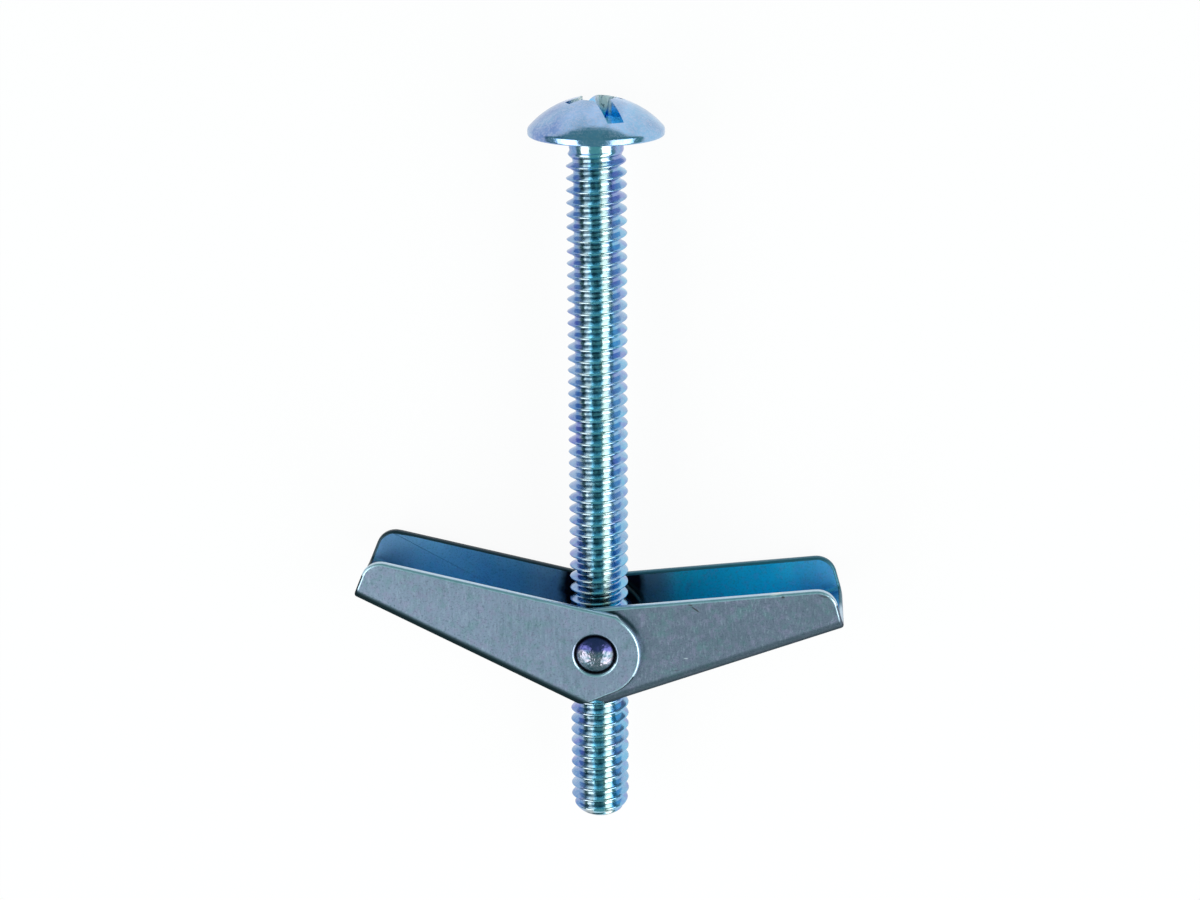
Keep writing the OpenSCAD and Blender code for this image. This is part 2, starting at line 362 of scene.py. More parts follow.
def wing_finish(name, pale, deep, inner_light_tones, under_edge_shade, fold_shade_share, fold_shade_from, nicks=(), ear_shadow_share=0.0):
    """Pale and deep film outside, painted light inside, painted shade and highlights on folds and
    edges, a painted ear shadow, and nicks.
    """
    shader = Shader(name)
    color, clouds = film(shader, pale, deep, 5 * MM)

    # rolled sheet has fine streaks, and its film is mottled between lilac and green
    streaks = shader.grain(0.2 * MM, detail=4.0, roughness=0.75, stretch=(1, 0.25, 1))
    lilac = shader.spread(shader.grain(0.9 * MM, detail=4.0, roughness=0.7), 0.48, 0.64)
    patches = shader.grain(1.4 * MM, detail=5.0, roughness=0.7, stretch=(1, 1, 2))
    green = shader.spread(patches, 0.5, 0.66)
    specks = shader.spread(shader.grain(0.2 * MM, detail=3.0, roughness=0.7), 0.48, 0.7)
    color = shader.mix(color, rgba(0.38, 0.33, 0.5), lilac * 0.45)
    color = shader.mix(color, rgba(0.17, 0.34, 0.34), green * 0.4)
    color = shader.mix(color, rgba(0.05, 0.07, 0.11), specks * 0.5)
    color = shader.mix(color, rgba(0.6, 0.7, 0.8), shader.spread(streaks, 0.5, 0.7) * 0.3)

    # inside the channel, painted shade makes the root nearly black, and three tones of painted bounced
    # light run from there to the tip
    x, y, z = shader.axes()
    reach = x.math("ABSOLUTE")
    root_shade = shader.spread(reach + 1.2 * MM * (shader.grain(2 * MM) - 0.5), 5.0 * MM, 3.8 * MM)
    film_root, film_middle, film_tip = inner_light_tones
    inner_light_film = shader.mix(film_root, film_middle, shader.spread(reach, 5.5 * MM, 9 * MM))
    inner_light_film = shader.mix(inner_light_film, film_tip, shader.spread(reach, 17.5 * MM, 25 * MM))
    inner_light_film = shader.mix(inner_light_film, rgba(0.3, 0.42, 0.8), lilac * 0.22)
    inner_light_film = shader.mix(inner_light_film, rgba(0.04, 0.5, 0.66), green * 0.16)
    inner_light_film = shader.mix(inner_light_film, rgba(0.03, 0.08, 0.12), specks * 0.25)
    inner_light_film = shader.mix(inner_light_film, SHADE_BLACK, root_shade)
    color = shader.mix(color, inner_light_film, shader.attribute("inside"))

    # a painted shadow of the other wing's ear, on the corner beside its edge
    ear_reach = (x * x + (y - PIVOT_Y) * (y - PIVOT_Y)).math("SQRT")
    ring = shader.spread(ear_reach, EAR_R - 0.1 * MM, EAR_R + 0.05 * MM)
    ring = ring * shader.spread(ear_reach, EAR_R + 0.5 * MM, EAR_R + 0.15 * MM)
    ring = ring * shader.spread(y, PIVOT_Y + 1.0 * MM, PIVOT_Y + 3.0 * MM)
    color = shader.mix(color, rgba(0.02, 0.05, 0.06), ring * ear_shadow_share)

    # painted shade darkens the outside of each fold, and where it turns furthest it is near black and
    # matt
    fold = shader.attribute("fold")
    fold_shade_band = shader.spread(fold, 0.02, 0.3)
    color = shader.mix(color, rgba(0.035, 0.07, 0.085), fold_shade_band * fold_shade_share)
    matt_fold_shade = shader.spread(fold, fold_shade_from, fold_shade_from + 0.3) * fold_shade_share
    color = shader.mix(color, rgba(0.003, 0.01, 0.012), matt_fold_shade)

    # the upper flange's edges are painted lighter as a highlight, and those that lie deep in the
    # channel or under it get painted shade
    deep_edge_shade = shader.spread(z.math("ABSOLUTE"), 4.35 * MM, 4.15 * MM)
    deep_edge_shade = deep_edge_shade * shader.spread(reach, 7 * MM, 5 * MM)
    painted_highlight = shader.spread(z, -2 * MM, 1 * MM) * (1 - deep_edge_shade)
    hole = shader.spread(ear_reach, 3.2 * MM, 2.8 * MM)
    hole = hole * shader.spread(y, PIVOT_Y - 1.2 * MM, PIVOT_Y + 0.6 * MM)
    bright = shader.mix(rgba(0.55, 0.7, 0.82), pale, hole)
    edge = shader.attribute("edge") * (1 - fold_shade_band)
    color = shader.mix(color, shader.mix(under_edge_shade, bright, painted_highlight), edge * 0.95)

    # streaks from the rolling mill, and the small marks of use
    lines, normal = scratched(shader, (1, 0.12, 1), 0.01 * MM)
    roughness = 0.44 + 0.08 * clouds + 0.2 * (lines - 0.5) + 0.08 * specks
    roughness = roughness - 0.12 * edge * painted_highlight
    roughness = roughness + 0.4 * matt_fold_shade
    for centre, long, wide, lean, mark, share in nicks:
        leaf = shader.nick(centre, long, wide, lean)
        color = shader.mix(color, mark, leaf * share)
        roughness = roughness + 0.15 * leaf
    return shader.surface(
        {
            "Base Color": color,
            "Metallic": (1 - matt_fold_shade).clamped(),
            "Specular IOR Level": 0.0,
            "Roughness": roughness.clamped(),
            "Normal": normal,
        }
    )


# Marks on the right wing, along the flange that faces up: place, half length and
# half width in metres, lean in degrees, tone and strength
RIGHT_NICKS = [
    ((10.57 * MM, -49.35 * MM), 0.66 * MM, 0.11 * MM, -36, DARK_MARK, 0.85),
    ((10.0 * MM, -48.85 * MM), 0.3 * MM, 0.12 * MM, -10, DARK_MARK, 0.7),
    ((19.72 * MM, -47.75 * MM), 0.22 * MM, 0.16 * MM, 0, DARK_MARK, 0.8),
    ((24.0 * MM, -47.6 * MM), 0.7 * MM, 0.16 * MM, -12, DARK_MARK, 0.6),
    ((12.75 * MM, -53.8 * MM), 0.4 * MM, 0.09 * MM, -38, DARK_MARK, 0.4),
    ((8.5 * MM, -56.3 * MM), 0.6 * MM, 0.08 * MM, 8, DARK_MARK, 0.35),
    ((9.58 * MM, -54.89 * MM), 0.3 * MM, 0.07 * MM, 0, PALE_MARK, 0.5),
    ((19.0 * MM, -47.5 * MM), 0.85 * MM, 0.14 * MM, 12, PALE_MARK, 0.9),
]


# %% [markdown]
# The nut's pins show most. Their film is pale lilac with blotches, painted shade turns it navy on the
# head's side, and painted shade makes their rims black. The spring is plain bright wire with a light
# haze.

# %% Nut and spring
def nut_finish():
    shader = Shader("nut_blue_zinc")
    x, y, z = shader.axes()
    wander = y + 1.0 * MM * (shader.grain(0.9 * MM, detail=4.0) - 0.5)
    # painted shade: the pins turn navy on the head's side
    navy_shade = shader.spread(wander, PIVOT_Y + 0.25 * MM, PIVOT_Y + 0.75 * MM)
    color, clouds = film(shader, rgba(0.37, 0.33, 0.41), rgba(0.2, 0.29, 0.35), 0.5 * MM)
    blotch = shader.spread(shader.grain(0.5 * MM, detail=4.0, roughness=0.7), 0.44, 0.62)
    color = shader.mix(color, rgba(0.03, 0.07, 0.1), blotch * 0.6)
    color = shader.mix(color, rgba(0.057, 0.06, 0.225), navy_shade * 0.92)
    # painted shade: the pins' rims are nearly black
    pin_reach = (x * x + (y - PIVOT_Y) * (y - PIVOT_Y)).math("SQRT")
    rim_shade = shader.spread(pin_reach, 1.8 * MM, 1.98 * MM)
    rim_shade = rim_shade * shader.spread(z.math("ABSOLUTE"), 4.4 * MM, 4.8 * MM)
    color = shader.mix(color, SHADE_BLACK, rim_shade * 0.95)
    dents = shader.grain(0.45 * MM, detail=3.0)
    lines, normal = scratched(shader, (1, 1, 1), 0.012 * MM)
    roughness = 0.26 + 0.12 * clouds + 0.1 * (lines - 0.5) + 0.08 * (dents - 0.5)
    return metal(shader, color, roughness, normal)


def wire_finish():
    shader = Shader("bright_spring_wire")
    color, clouds = film(shader, rgba(0.42, 0.45, 0.5), rgba(0.3, 0.33, 0.37), 1 * MM)
    lines, normal = scratched(shader, (1, 1, 1), 0.004 * MM)
    roughness = 0.28 + 0.08 * clouds + 0.1 * (lines - 0.5)
    return metal(shader, color, roughness, normal)


# %% Make the finishes
screw_zinc = screw_finish()
# the two wings are one zinc, painted as a lit copy on the left and a shaded copy on the right, for how
# the light falls on each
left_zinc_lit_copy = wing_finish(
    "left_wing_blue_zinc_lit_copy",
    pale=rgba(0.34, 0.39, 0.52),
    deep=rgba(0.3, 0.35, 0.47),
    inner_light_tones=(rgba(0.52, 0.74, 1.0), rgba(0.28, 0.63, 0.91), rgba(0.17, 0.34, 0.57)),
    under_edge_shade=rgba(0.03, 0.05, 0.06),
    fold_shade_from=0.2,
    fold_shade_share=0.9,
)
# the shaded copy: darker outside, with its own painted inside light, edges and folds
right_zinc_shaded_copy = wing_finish(
    "right_wing_blue_zinc_shaded_copy",
    pale=rgba(0.24, 0.27, 0.36),
    deep=rgba(0.2, 0.23, 0.31),
    inner_light_tones=(rgba(0.36, 0.46, 0.61), rgba(0.04, 0.75, 1.0), rgba(0.115, 0.48, 0.81)),
    under_edge_shade=rgba(0.06, 0.18, 0.24),
    fold_shade_from=0.45,
    fold_shade_share=0.62,
    nicks=RIGHT_NICKS,
    ear_shadow_share=0.9,
)
nut_zinc = nut_finish()
spring_wire = wire_finish()
print("materials:", [m.name for m in bpy.data.materials])

# %% [markdown]
# ## Pressed wings
#
# Each wing is one blank of thin sheet, folded into a channel that tapers to
# the tip. It could be folded here again, but the CAD shape is right and only its
# edges are razor sharp. So a copy gets small rolled edges, which catch the light
# as pressed steel does.

# %% Helpers for finished copies
SAME_POINT = 1e-7


def merged_copy(name, node):
    """A copy of a CAD node with its loose triangles joined and flat faces made one."""
    mesh = nodes[node].data.copy()
    mesh.name = name
    work = bmesh.new()
    work.from_mesh(mesh)
    bmesh.ops.remove_doubles(work, verts=work.verts, dist=SAME_POINT)
    bmesh.ops.dissolve_limit(work, angle_limit=math.radians(0.5), verts=work.verts, edges=work.edges)
    bmesh.ops.recalc_face_normals(work, faces=work.faces)
    work.to_mesh(mesh)
    work.free()
    if "custom_normal" in mesh.attributes:
        mesh.attributes.remove(mesh.attributes["custom_normal"])
    return placed(name, mesh)


def dress(piece, material):
    piece.data.materials.clear()
    piece.data.materials.append(material)
    for face in piece.data.polygons:
        face.material_index = 0


def rolled_edges(piece, width, segments=3, angle=35, clamp=True):
    """Rounds the edges that turn by more than angle. The new faces get the second material."""
    shade(piece, 180)
    piece.data.materials.clear()
    piece.data.materials.append(None)
    piece.data.materials.append(None)
    bevel = piece.modifiers.new("rolled edges", "BEVEL")
    bevel.width = width
    bevel.segments = segments
    bevel.limit_method = "ANGLE"
    bevel.angle_limit = math.radians(angle)
    bevel.material = 1
    bevel.use_clamp_overlap = clamp
    level = piece.modifiers.new("even shading", "WEIGHTED_NORMAL")
    level.keep_sharp = True
    return plain_mesh(piece)


def plain_mesh(piece):
    """Turns a piece and its live modifiers into a plain mesh."""
    bpy.context.view_layer.update()
    seen = piece.evaluated_get(bpy.context.evaluated_depsgraph_get())
    mesh = bpy.data.meshes.new_from_object(seen)
    piece.modifiers.clear()
    piece.data = mesh
    mesh.name = piece.name
    return piece


def shade(piece, angle):
    piece.data.shade_smooth()
    piece.data.set_sharp_from_angle(angle=math.radians(angle))


# %% Make the wings
EDGE_ROLL = 0.3 * MM


def wing_piece(name, node):
    """The roll isn't clamped, because short facets by the folds would shrink all of it."""
    return rolled_edges(merged_copy(name, node), EDGE_ROLL, segments=5, clamp=False)


wings = {
    "left_wing_pressed": wing_piece("left_wing_pressed", "left_wing"),
    "right_wing_pressed": wing_piece("right_wing_pressed", "right_wing"),
}
for name, piece in wings.items():
    print(name, len(piece.data.polygons), "faces")

# %% [markdown]
# Three attributes mark the places that the wings' finish reads. Inside and edge
# are the same over a face. The fold's is kept at the corners, and it grows from
# the flange round the bend to the web, so its tone fades in.

# %% Tell inside, fold and edge apart
FOLD_R = 1.4 * MM
SHEET = 0.85 * MM


def web_side(mesh):
    """The way the web faces outwards, from its largest face."""
    webs = [face for face in mesh.polygons if abs(face.normal.z) < 0.1 and face.normal.y < -0.5]
    return max(webs, key=lambda face: face.area).normal.copy()


def is_edge(face, height, half, slope):
    """A rolled face, or the strip of the sheet's thickness between two rolls."""
    strip = abs(face.normal.z) < 0.3 and abs(height) > half - SHEET and slope < 0.5
    return face.material_index == 1 or strip


def is_inside(face, height, half, slope):
    """The flanges' and the web's faces that look into the channel."""
    level = abs(face.normal.z) > 0.5 and abs(height) > half * 0.7
    web = abs(height) < half * 0.9 and slope < -0.5 and face.center.y < PIVOT_Y + MM
    return (level and height * face.normal.z < 0) or web


def is_fold(face, height, half, slope):
    outside = height * face.normal.z > 0 and abs(height) > half - FOLD_R
    return outside and 0.02 < slope < 0.999


# %% Mark the wings
def mark_wing(piece, low, high):
    mesh = piece.data
    middle = (low.z + high.z) / 2
    half = (high.z - low.z) / 2
    outwards = web_side(mesh)
    inside = mesh.attributes.new("inside", "FLOAT", "FACE")
    edge = mesh.attributes.new("edge", "FLOAT", "FACE")
    fold = mesh.attributes.new("fold", "FLOAT", "CORNER")
    counts = [0, 0, 0]
    for face in mesh.polygons:
        measures = (face, face.center.z - middle, half, face.normal.dot(outwards))
        if is_inside(*measures):
            inside.data[face.index].value = 1.0
            counts[0] += 1
        if is_edge(*measures):
            edge.data[face.index].value = 1.0
            counts[1] += 1
        if is_fold(*measures):
            counts[2] += 1
            for corner in face.loop_indices:
                point = mesh.vertices[mesh.loops[corner].vertex_index].co
                rise = 1 - (half - abs(point.z - middle)) / FOLD_R
                fold.data[corner].value = math.sqrt(max(0.0, 1 - min(1.0, rise) ** 2))
    print(piece.name, "inside, edge and fold faces:", counts)


mark_wing(wings["left_wing_pressed"], left_low, left_high)
mark_wing(wings["right_wing_pressed"], right_low, right_high)
dress(wings["left_wing_pressed"], left_zinc_lit_copy)
dress(wings["right_wing_pressed"], right_zinc_shaded_copy)

# %% [markdown]
# ## Nut with its trunnions
#
# The nut is turned from bar: a barrel with the screw's thread through it, a
# shoulder on each side for the spring, and a round pin at each end that the
# wings' ears turn on. Cylinders could be joined to make it, but one outline that
# is spun, as on a lathe, has no seams, and is then bored. The pins' ends are
# headed cold, which leaves them a little uneven, so a soft noise moves the
# points of their domes.

# %% A lathe
SEAM = 0.001 * MM


def from_work(name, work):
    """A piece from a bmesh that is finished."""
    mesh = bpy.data.meshes.new(name)
    work.to_mesh(mesh)
    work.free()
    return placed(name, mesh)


def arc_points(centre, radius, start, end, count):
    """Points on an arc, from start to end in degrees."""
    points = []
    for i in range(count + 1):
        angle = math.radians(start + (end - start) * i / count)
        points.append((centre[0] + radius * math.cos(angle), centre[1] + radius * math.sin(angle)))
    return points


def turned(name, outline, segments=144):
    """Spins an outline of (radius, height) points about the Y axis."""
    work = bmesh.new()
    ring = [work.verts.new((x, y, 0)) for x, y in outline]
    edges = [work.edges.new(pair) for pair in zip(ring, ring[1:])]
    bmesh.ops.spin(
        work, geom=ring + edges, cent=(0, 0, 0), axis=(0, 1, 0), angle=2 * math.pi, steps=segments
    )
    bmesh.ops.remove_doubles(work, verts=work.verts, dist=SEAM)
    bmesh.ops.recalc_face_normals(work, faces=work.faces)
    return from_work(name, work)


# %% Nut sizes and outline
BORE_R = 3.18 * MM
SHOULDER_R = 3.2 * MM
SHOULDER_Z = 3.28 * MM
PIN_R = 2.12 * MM
PIN_Z = 4.28 * MM
PIN_DOME = 0.9 * MM
PIN_BALL = (PIN_R**2 + PIN_DOME**2) / (2 * PIN_DOME)
DOME_ROWS = 28
NUT_ROLL = 0.12 * MM


def nut_outline():
    """From the middle of one pin's dome down to the middle of the other's."""
    start = math.degrees(math.asin(PIN_R / PIN_BALL))
    dome = arc_points((0, PIN_TOP - PIN_BALL), PIN_BALL, 90, 90 - start, DOME_ROWS)
    steps = [(PIN_R, PIN_Z), (SHOULDER_R, PIN_Z), (SHOULDER_R, SHOULDER_Z), (BARREL_R, SHOULDER_Z)]
    top = dome + steps
    return top + [(x, -y) for x, y in reversed(top)]


def uneven_domes(mesh, depth, size):
    """Moves the points of both domes in and out, less towards their rims."""
    for vertex in mesh.vertices:
        reach = math.hypot(vertex.co.x, vertex.co.y)
        if abs(vertex.co.z) < PIN_TOP - PIN_DOME - 0.01 * MM or reach > PIN_R:
            continue
        share = 1 - (reach / PIN_R) ** 4
        push = noise.fractal(vertex.co / size, 1.0, 2.0, 3) * depth * share
        vertex.co.z += math.copysign(push, vertex.co.z)


# %% Make the nut
def cut_out(piece, cutters):
    """Takes the cutters' shapes out of a piece, and then removes the cutters."""
    for cutter in cutters:
        cut = piece.modifiers.new(cutter.name, "BOOLEAN")
        cut.operation = "DIFFERENCE"
        cut.solver = "EXACT"
        cut.object = cutter
    plain_mesh(piece)
    for cutter in cutters:
        bpy.data.objects.remove(cutter)


nut = turned("trunnion_nut_turned", nut_outline(), 120)
nut.data.transform(Matrix.Rotation(math.pi / 2, 4, "X"))
uneven_domes(nut.data, 0.07 * MM, 0.48 * MM)
past = 2 * BARREL_R
bore = turned("bore", [(0, -past), (BORE_R, -past), (BORE_R, past), (0, past)], 96)
cut_out(nut, [bore])
nut.data.transform(Matrix.Translation((0, PIVOT_Y, 0)))
rolled_edges(nut, NUT_ROLL)
dress(nut, nut_zinc)
print("nut", len(nut.data.polygons), "faces")

# %% [markdown]
# ## Screw thread
#
# A thread is a ridge that follows a helix, so a rule makes it, and Geometry
# Nodes write that rule down once. The Screw modifier could wind a profile too,
# but couldn't fade it out or round the tip. A flat grid is rolled round the
# screw and climbs by one pitch a turn. Its rows then run along the ridge, and
# the crest stays a clean line. Towards the neck the ridge fades out, and at the
# tip it is cut by the rounded end. Beyond each end the rows shrink onto the
# axis, which closes the tube.

# %% Thread sizes
THREAD = {
    "Crest radius": 3.13 * MM,
    "Pitch": 1.27 * MM,
    "Depth": 0.76 * MM,
    "Neck radius": 2.8 * MM,
    "Neck end": -1.3 * MM,
    "Fade": 1.6 * MM,
    "Top": 0.3 * MM,
    "Tip": TIP_Y + 0.02 * MM,
    "Tip rounding": 2.4 * MM,
    "Dents": 0.05 * MM,
    "Dent size": 0.7 * MM,
}
AROUND = 84
ROWS = 16
CREST_SHARE = 0.07
FLANK_SHARE = 0.68
print("turns of thread:", round((THREAD["Neck end"] - TIP_Y) / THREAD["Pitch"], 1))


# %% A node tree written as expressions
class Field:
    def __init__(self, tree, socket):
        self.tree = tree
        self.socket = socket

    def do(self, operation, *others, swap=False):
        node = self.tree.nodes.new("ShaderNodeMath")
        node.operation = operation
        values = (self,) + others
        for socket, value in zip(node.inputs, reversed(values) if swap else values):
            link(self.tree, socket, value)
        return Field(self.tree, node.outputs[0])

    def __add__(self, other):
        return self.do("ADD", other)

    def __sub__(self, other):
        return self.do("SUBTRACT", other)

    def __mul__(self, other):
        return self.do("MULTIPLY", other)

    def __truediv__(self, other):
        return self.do("DIVIDE", other)

    def __rtruediv__(self, other):
        return self.do("DIVIDE", other, swap=True)

    def between(self, low, high):
        return self.do("MAXIMUM", low).do("MINIMUM", high)


def link(tree, socket, value):
    if isinstance(value, Field):
        tree.links.new(value.socket, socket)
    else:
        socket.default_value = value


def step(tree, kind, inputs=()):
    """Adds one node, feeds its sockets, and gives its outputs."""
    node = tree.nodes.new(kind)
    pairs = inputs.items() if isinstance(inputs, dict) else enumerate(inputs)
    for key, value in pairs:
        link(tree, node.inputs[key], value)
    return [Field(tree, socket) for socket in node.outputs]


def new_tree(name, lengths, counts):
    """A tree with named inputs for geometry, lengths, whole numbers and the finish."""
    tree = bpy.data.node_groups.new(name, "GeometryNodeTree")
    kinds = {"Geometry": "Geometry"}
    kinds.update({key: "Float" for key in lengths})
    kinds.update({key: "Int" for key in counts})
    kinds["Finish"] = "Material"
    for key, kind in kinds.items():
        tree.interface.new_socket(key, in_out="INPUT", socket_type="NodeSocket" + kind)
    tree.interface.new_socket("Geometry", in_out="OUTPUT", socket_type="NodeSocketGeometry")
    return tree, dict(zip(kinds, step(tree, "NodeGroupInput")))


def end_tree(tree, shape, finish):
    real = step(tree, "GeometryNodeRealizeInstances", [shape])[0]
    done = step(tree, "GeometryNodeSetMaterial", {"Geometry": real, "Material": finish})[0]
    link(tree, tree.nodes.new("NodeGroupOutput").inputs[0], done)


# %% Thread tree
def thread_tree():
    tree, given = new_tree("thread", THREAD, ("Around", "Rows", "Turns"))

    # grid: x is the share of a turn, y counts rows
    rows = given["Rows"] * given["Turns"]
    grid = step(tree, "GeometryNodeMeshGrid", [1.0, rows, given["Around"] + 1, rows + 1])[0]
    x, row, _ = step(tree, "ShaderNodeSeparateXYZ", [step(tree, "GeometryNodeInputPosition")[0]])
    turn = x + 0.5
    phase = (row + rows / 2) / given["Rows"]
    raw = given["Tip"] + (phase + turn - 1.5) * given["Pitch"]
    along = raw.between(given["Tip"], given["Top"])

    # ridge: a narrow crest, straight flanks, and a quarter of the pitch as root
    slant = ((phase.do("FRACT") * 2 - 1).do("ABSOLUTE") - CREST_SHARE) / FLANK_SHARE
    ridge = given["Crest radius"] - given["Depth"] * slant.between(0.0, 1.0)
    fade = (along - given["Neck end"] + given["Fade"]) / given["Fade"]
    fade = fade.between(0.0, 1.0)
    radius = ridge + (given["Neck radius"] - ridge) * fade

    # rounded tip
    rounding = given["Tip rounding"]
    short = (rounding - (along - given["Tip"])).between(0.0, 1.0)
    arc = (rounding * rounding - short * short).between(0.0, 1.0).do("SQRT")
    radius = radius.do("MINIMUM", given["Crest radius"] - rounding + arc)

    # shallow dents, as the plating barrel leaves them
    angle = turn * (2 * math.pi)
    across, up = angle.do("SINE"), angle.do("COSINE")
    plain = step(tree, "ShaderNodeCombineXYZ", [across * radius, along, up * radius])[0]
    cloud = {"Vector": plain, "Scale": 1.0 / given["Dent size"]}
    dent = step(tree, "ShaderNodeTexNoise", cloud)[0]
    radius = radius + (dent - 0.5) * given["Dents"]

    # both ends drawn in to the axis
    row_step = given["Pitch"] / given["Rows"]
    below = ((raw - given["Tip"]) / row_step + 2).between(0.0, 1.0)
    above = ((given["Top"] - raw) / row_step + 2).between(0.0, 1.0)
    radius = radius * below * above
    place = step(tree, "ShaderNodeCombineXYZ", [across * radius, along, up * radius])[0]
    rolled = step(tree, "GeometryNodeSetPosition", {"Geometry": grid, "Position": place})[0]
    merge = {"Geometry": rolled, "Distance": 2 * SEAM}
    end_tree(tree, step(tree, "GeometryNodeMergeByDistance", merge)[0], given["Finish"])
    return tree


def run_tree(name, tree, values, start=None):
    """Runs a tree on a start mesh and keeps the result as a plain mesh."""
    piece = placed(name, start or bpy.data.meshes.new(name))
    modifier = piece.modifiers.new(tree.name, "NODES")
    modifier.node_group = tree
    for item in tree.interface.items_tree:
        if item.in_out == "INPUT" and item.name in values:
            modifier[item.identifier] = values[item.name]
    return plain_mesh(piece)


# %% Roll the thread
def outward(mesh):
    """Turns the faces outwards and counts the edges that aren't closed."""
    work = bmesh.new()
    work.from_mesh(mesh)
    bmesh.ops.dissolve_degenerate(work, edges=work.edges, dist=SAME_POINT)
    bmesh.ops.recalc_face_normals(work, faces=work.faces)
    open_edges = sum(1 for edge in work.edges if len(edge.link_faces) != 2)
    work.to_mesh(mesh)
    work.free()
    return open_edges


turns = math.ceil((THREAD["Top"] - THREAD["Tip"]) / THREAD["Pitch"]) + 2
thread_values = {**THREAD, "Around": AROUND, "Rows": ROWS, "Turns": turns, "Finish": screw_zinc}
shank = run_tree("shank", thread_tree(), thread_values)
print("shank", len(shank.data.polygons), "faces,", outward(shank.data), "open edges")

# %% [markdown]
# ## Screw head
#
# The head is a low dome with a rolled rim, turned from one outline. A slot and
# a cross share its recess, so that either driver fits. A punch forms the real
# recess, and booleans are nearest to that: three bars and a round core are cut
# out of the dome, and a small bevel softens every cut edge.

# %% Turn the head
RIM_R = 0.45 * MM
RIM_Y = 0.55 * MM
SEAT_R = 0.2 * MM
SEAT_FLAT = 4.6 * MM
RISE = HEAD_TOP - RIM_Y
DOME_R = ((HEAD_R - RIM_R) ** 2 + RISE**2 - RIM_R**2) / (2 * (RISE - RIM_R))


def head_outline():
    rim_x = HEAD_R - RIM_R
    meet = math.degrees(math.atan2(RIM_Y - (HEAD_TOP - DOME_R), rim_x))
    points = arc_points((0, HEAD_TOP - DOME_R), DOME_R, 90, meet, 22)[:-1]
    points += arc_points((rim_x, RIM_Y), RIM_R, meet, 0, 5)
    points += arc_points((HEAD_R - SEAT_R, SEAT_R), SEAT_R, 0, -90, 4)
    return points + [(SEAT_FLAT, 0.0), (0.0, 0.0)]


head = turned("head", head_outline())
print("head", len(head.data.polygons), "faces")

# %% Shapes of the punch
SLOT_ANGLE = math.radians(25)
SLOT_HALF = 0.875 * MM
SLOT_DEPTH = 1.9 * MM
CROSS_REACH = 3.5 * MM
CROSS_ARM = 0.6 * MM
CROSS_DEPTH = 2.9 * MM
CROSS_FLOOR = 0.42
POINT_R = 0.3 * MM
POINT_DEPTH = 0.35 * MM
ABOVE = 1.0 * MM
RECESS_ROLL = 0.13 * MM


def prism(name, low, high, depth, half):
    """A bar across the head, low wide at its floor and high wide at the top."""
    floor_y = HEAD_TOP - depth
    top_y = HEAD_TOP + ABOVE
    work = bmesh.new()
    rings = []
    for side in (-half, half):
        corners = [(-low, floor_y), (low, floor_y), (high, top_y), (-high, top_y)]
        rings.append([work.verts.new((x, y, side)) for x, y in corners])
    work.faces.new(rings[0])
    work.faces.new(rings[1])
    for i in range(4):
        j = (i + 1) % 4
        work.faces.new((rings[0][i], rings[0][j], rings[1][j], rings[1][i]))
    bmesh.ops.recalc_face_normals(work, faces=work.faces)
    return from_work(name, work)


def core_outline():
    """The round core of the cross, with a blunt point below its floor."""
    floor_y = HEAD_TOP - CROSS_DEPTH
    return [
        (0.0, floor_y - POINT_DEPTH),
        (POINT_R, floor_y - POINT_DEPTH),
        (1.15 * MM, floor_y),
        (2.1 * MM, HEAD_TOP + ABOVE),
        (0.0, HEAD_TOP + ABOVE),
    ]


# %% Cut the recess
floor_reach = CROSS_FLOOR * CROSS_REACH
open_reach = CROSS_REACH * (1 + (1 - CROSS_FLOOR) * ABOVE / CROSS_DEPTH)
cutters = [
    prism("slot", 2 * HEAD_R, 2 * HEAD_R, SLOT_DEPTH, SLOT_HALF),
    prism("cross_a", floor_reach, open_reach, CROSS_DEPTH, CROSS_ARM),
    prism("cross_b", floor_reach, open_reach, CROSS_DEPTH, CROSS_ARM),
    turned("core", core_outline(), 48),
]
for cutter, extra in zip(cutters, [0, 0, math.pi / 2, 0]):
    cutter.data.transform(Matrix.Rotation(math.pi / 2 + SLOT_ANGLE + extra, 4, "Y"))
cut_out(head, cutters)
rolled_edges(head, RECESS_ROLL, angle=28)
print("cut head", len(head.data.polygons), "faces")

# %% Join head and shank
def joined(name, *parts):
    work = bmesh.new()
    for part in parts:
        work.from_mesh(part.data)
        bpy.data.objects.remove(part)
    return from_work(name, work)


shade(head, 40)
shade(shank, 180)
screw = joined("machine_screw_threaded", head, shank)
dress(screw, screw_zinc)
print("screw", len(screw.data.polygons), "faces")


# %% Mark the recess
def mark_recess(mesh):
    """Marks the faces that lie well inside the rim and below the dome's surface."""
    recess = mesh.attributes.new("recess", "FLOAT", "FACE")
    centre = Vector((0, HEAD_TOP - DOME_R, 0))
    below_dome = DOME_R - 0.05 * MM
    count = 0
    for face in mesh.polygons:
        place = face.center
        inside_rim = math.hypot(place.x, place.z) < 0.85 * HEAD_R
        if place.y > RIM_Y and inside_rim and (place - centre).length < below_dome:
            recess.data[face.index].value = 1.0
            count += 1
    print("recess faces:", count)


mark_recess(screw.data)

# %% [markdown]
# ## Spring
#
# One wire makes the whole spring. It has a coil on each of the nut's shoulders,
# two legs along the right wing's web, and two along the left wing's that a
# bridge joins. It could be a curve with a bevel, but a node tree gives each of
# its three runs the same wire: the path is a mesh of edges, which becomes a
# curve and then takes a round profile.
#
# On the real bolt, when a wing folds, its legs turn with it and the coil winds up. Here the coils ride
# on the nut, and the legs stay where they are drawn.

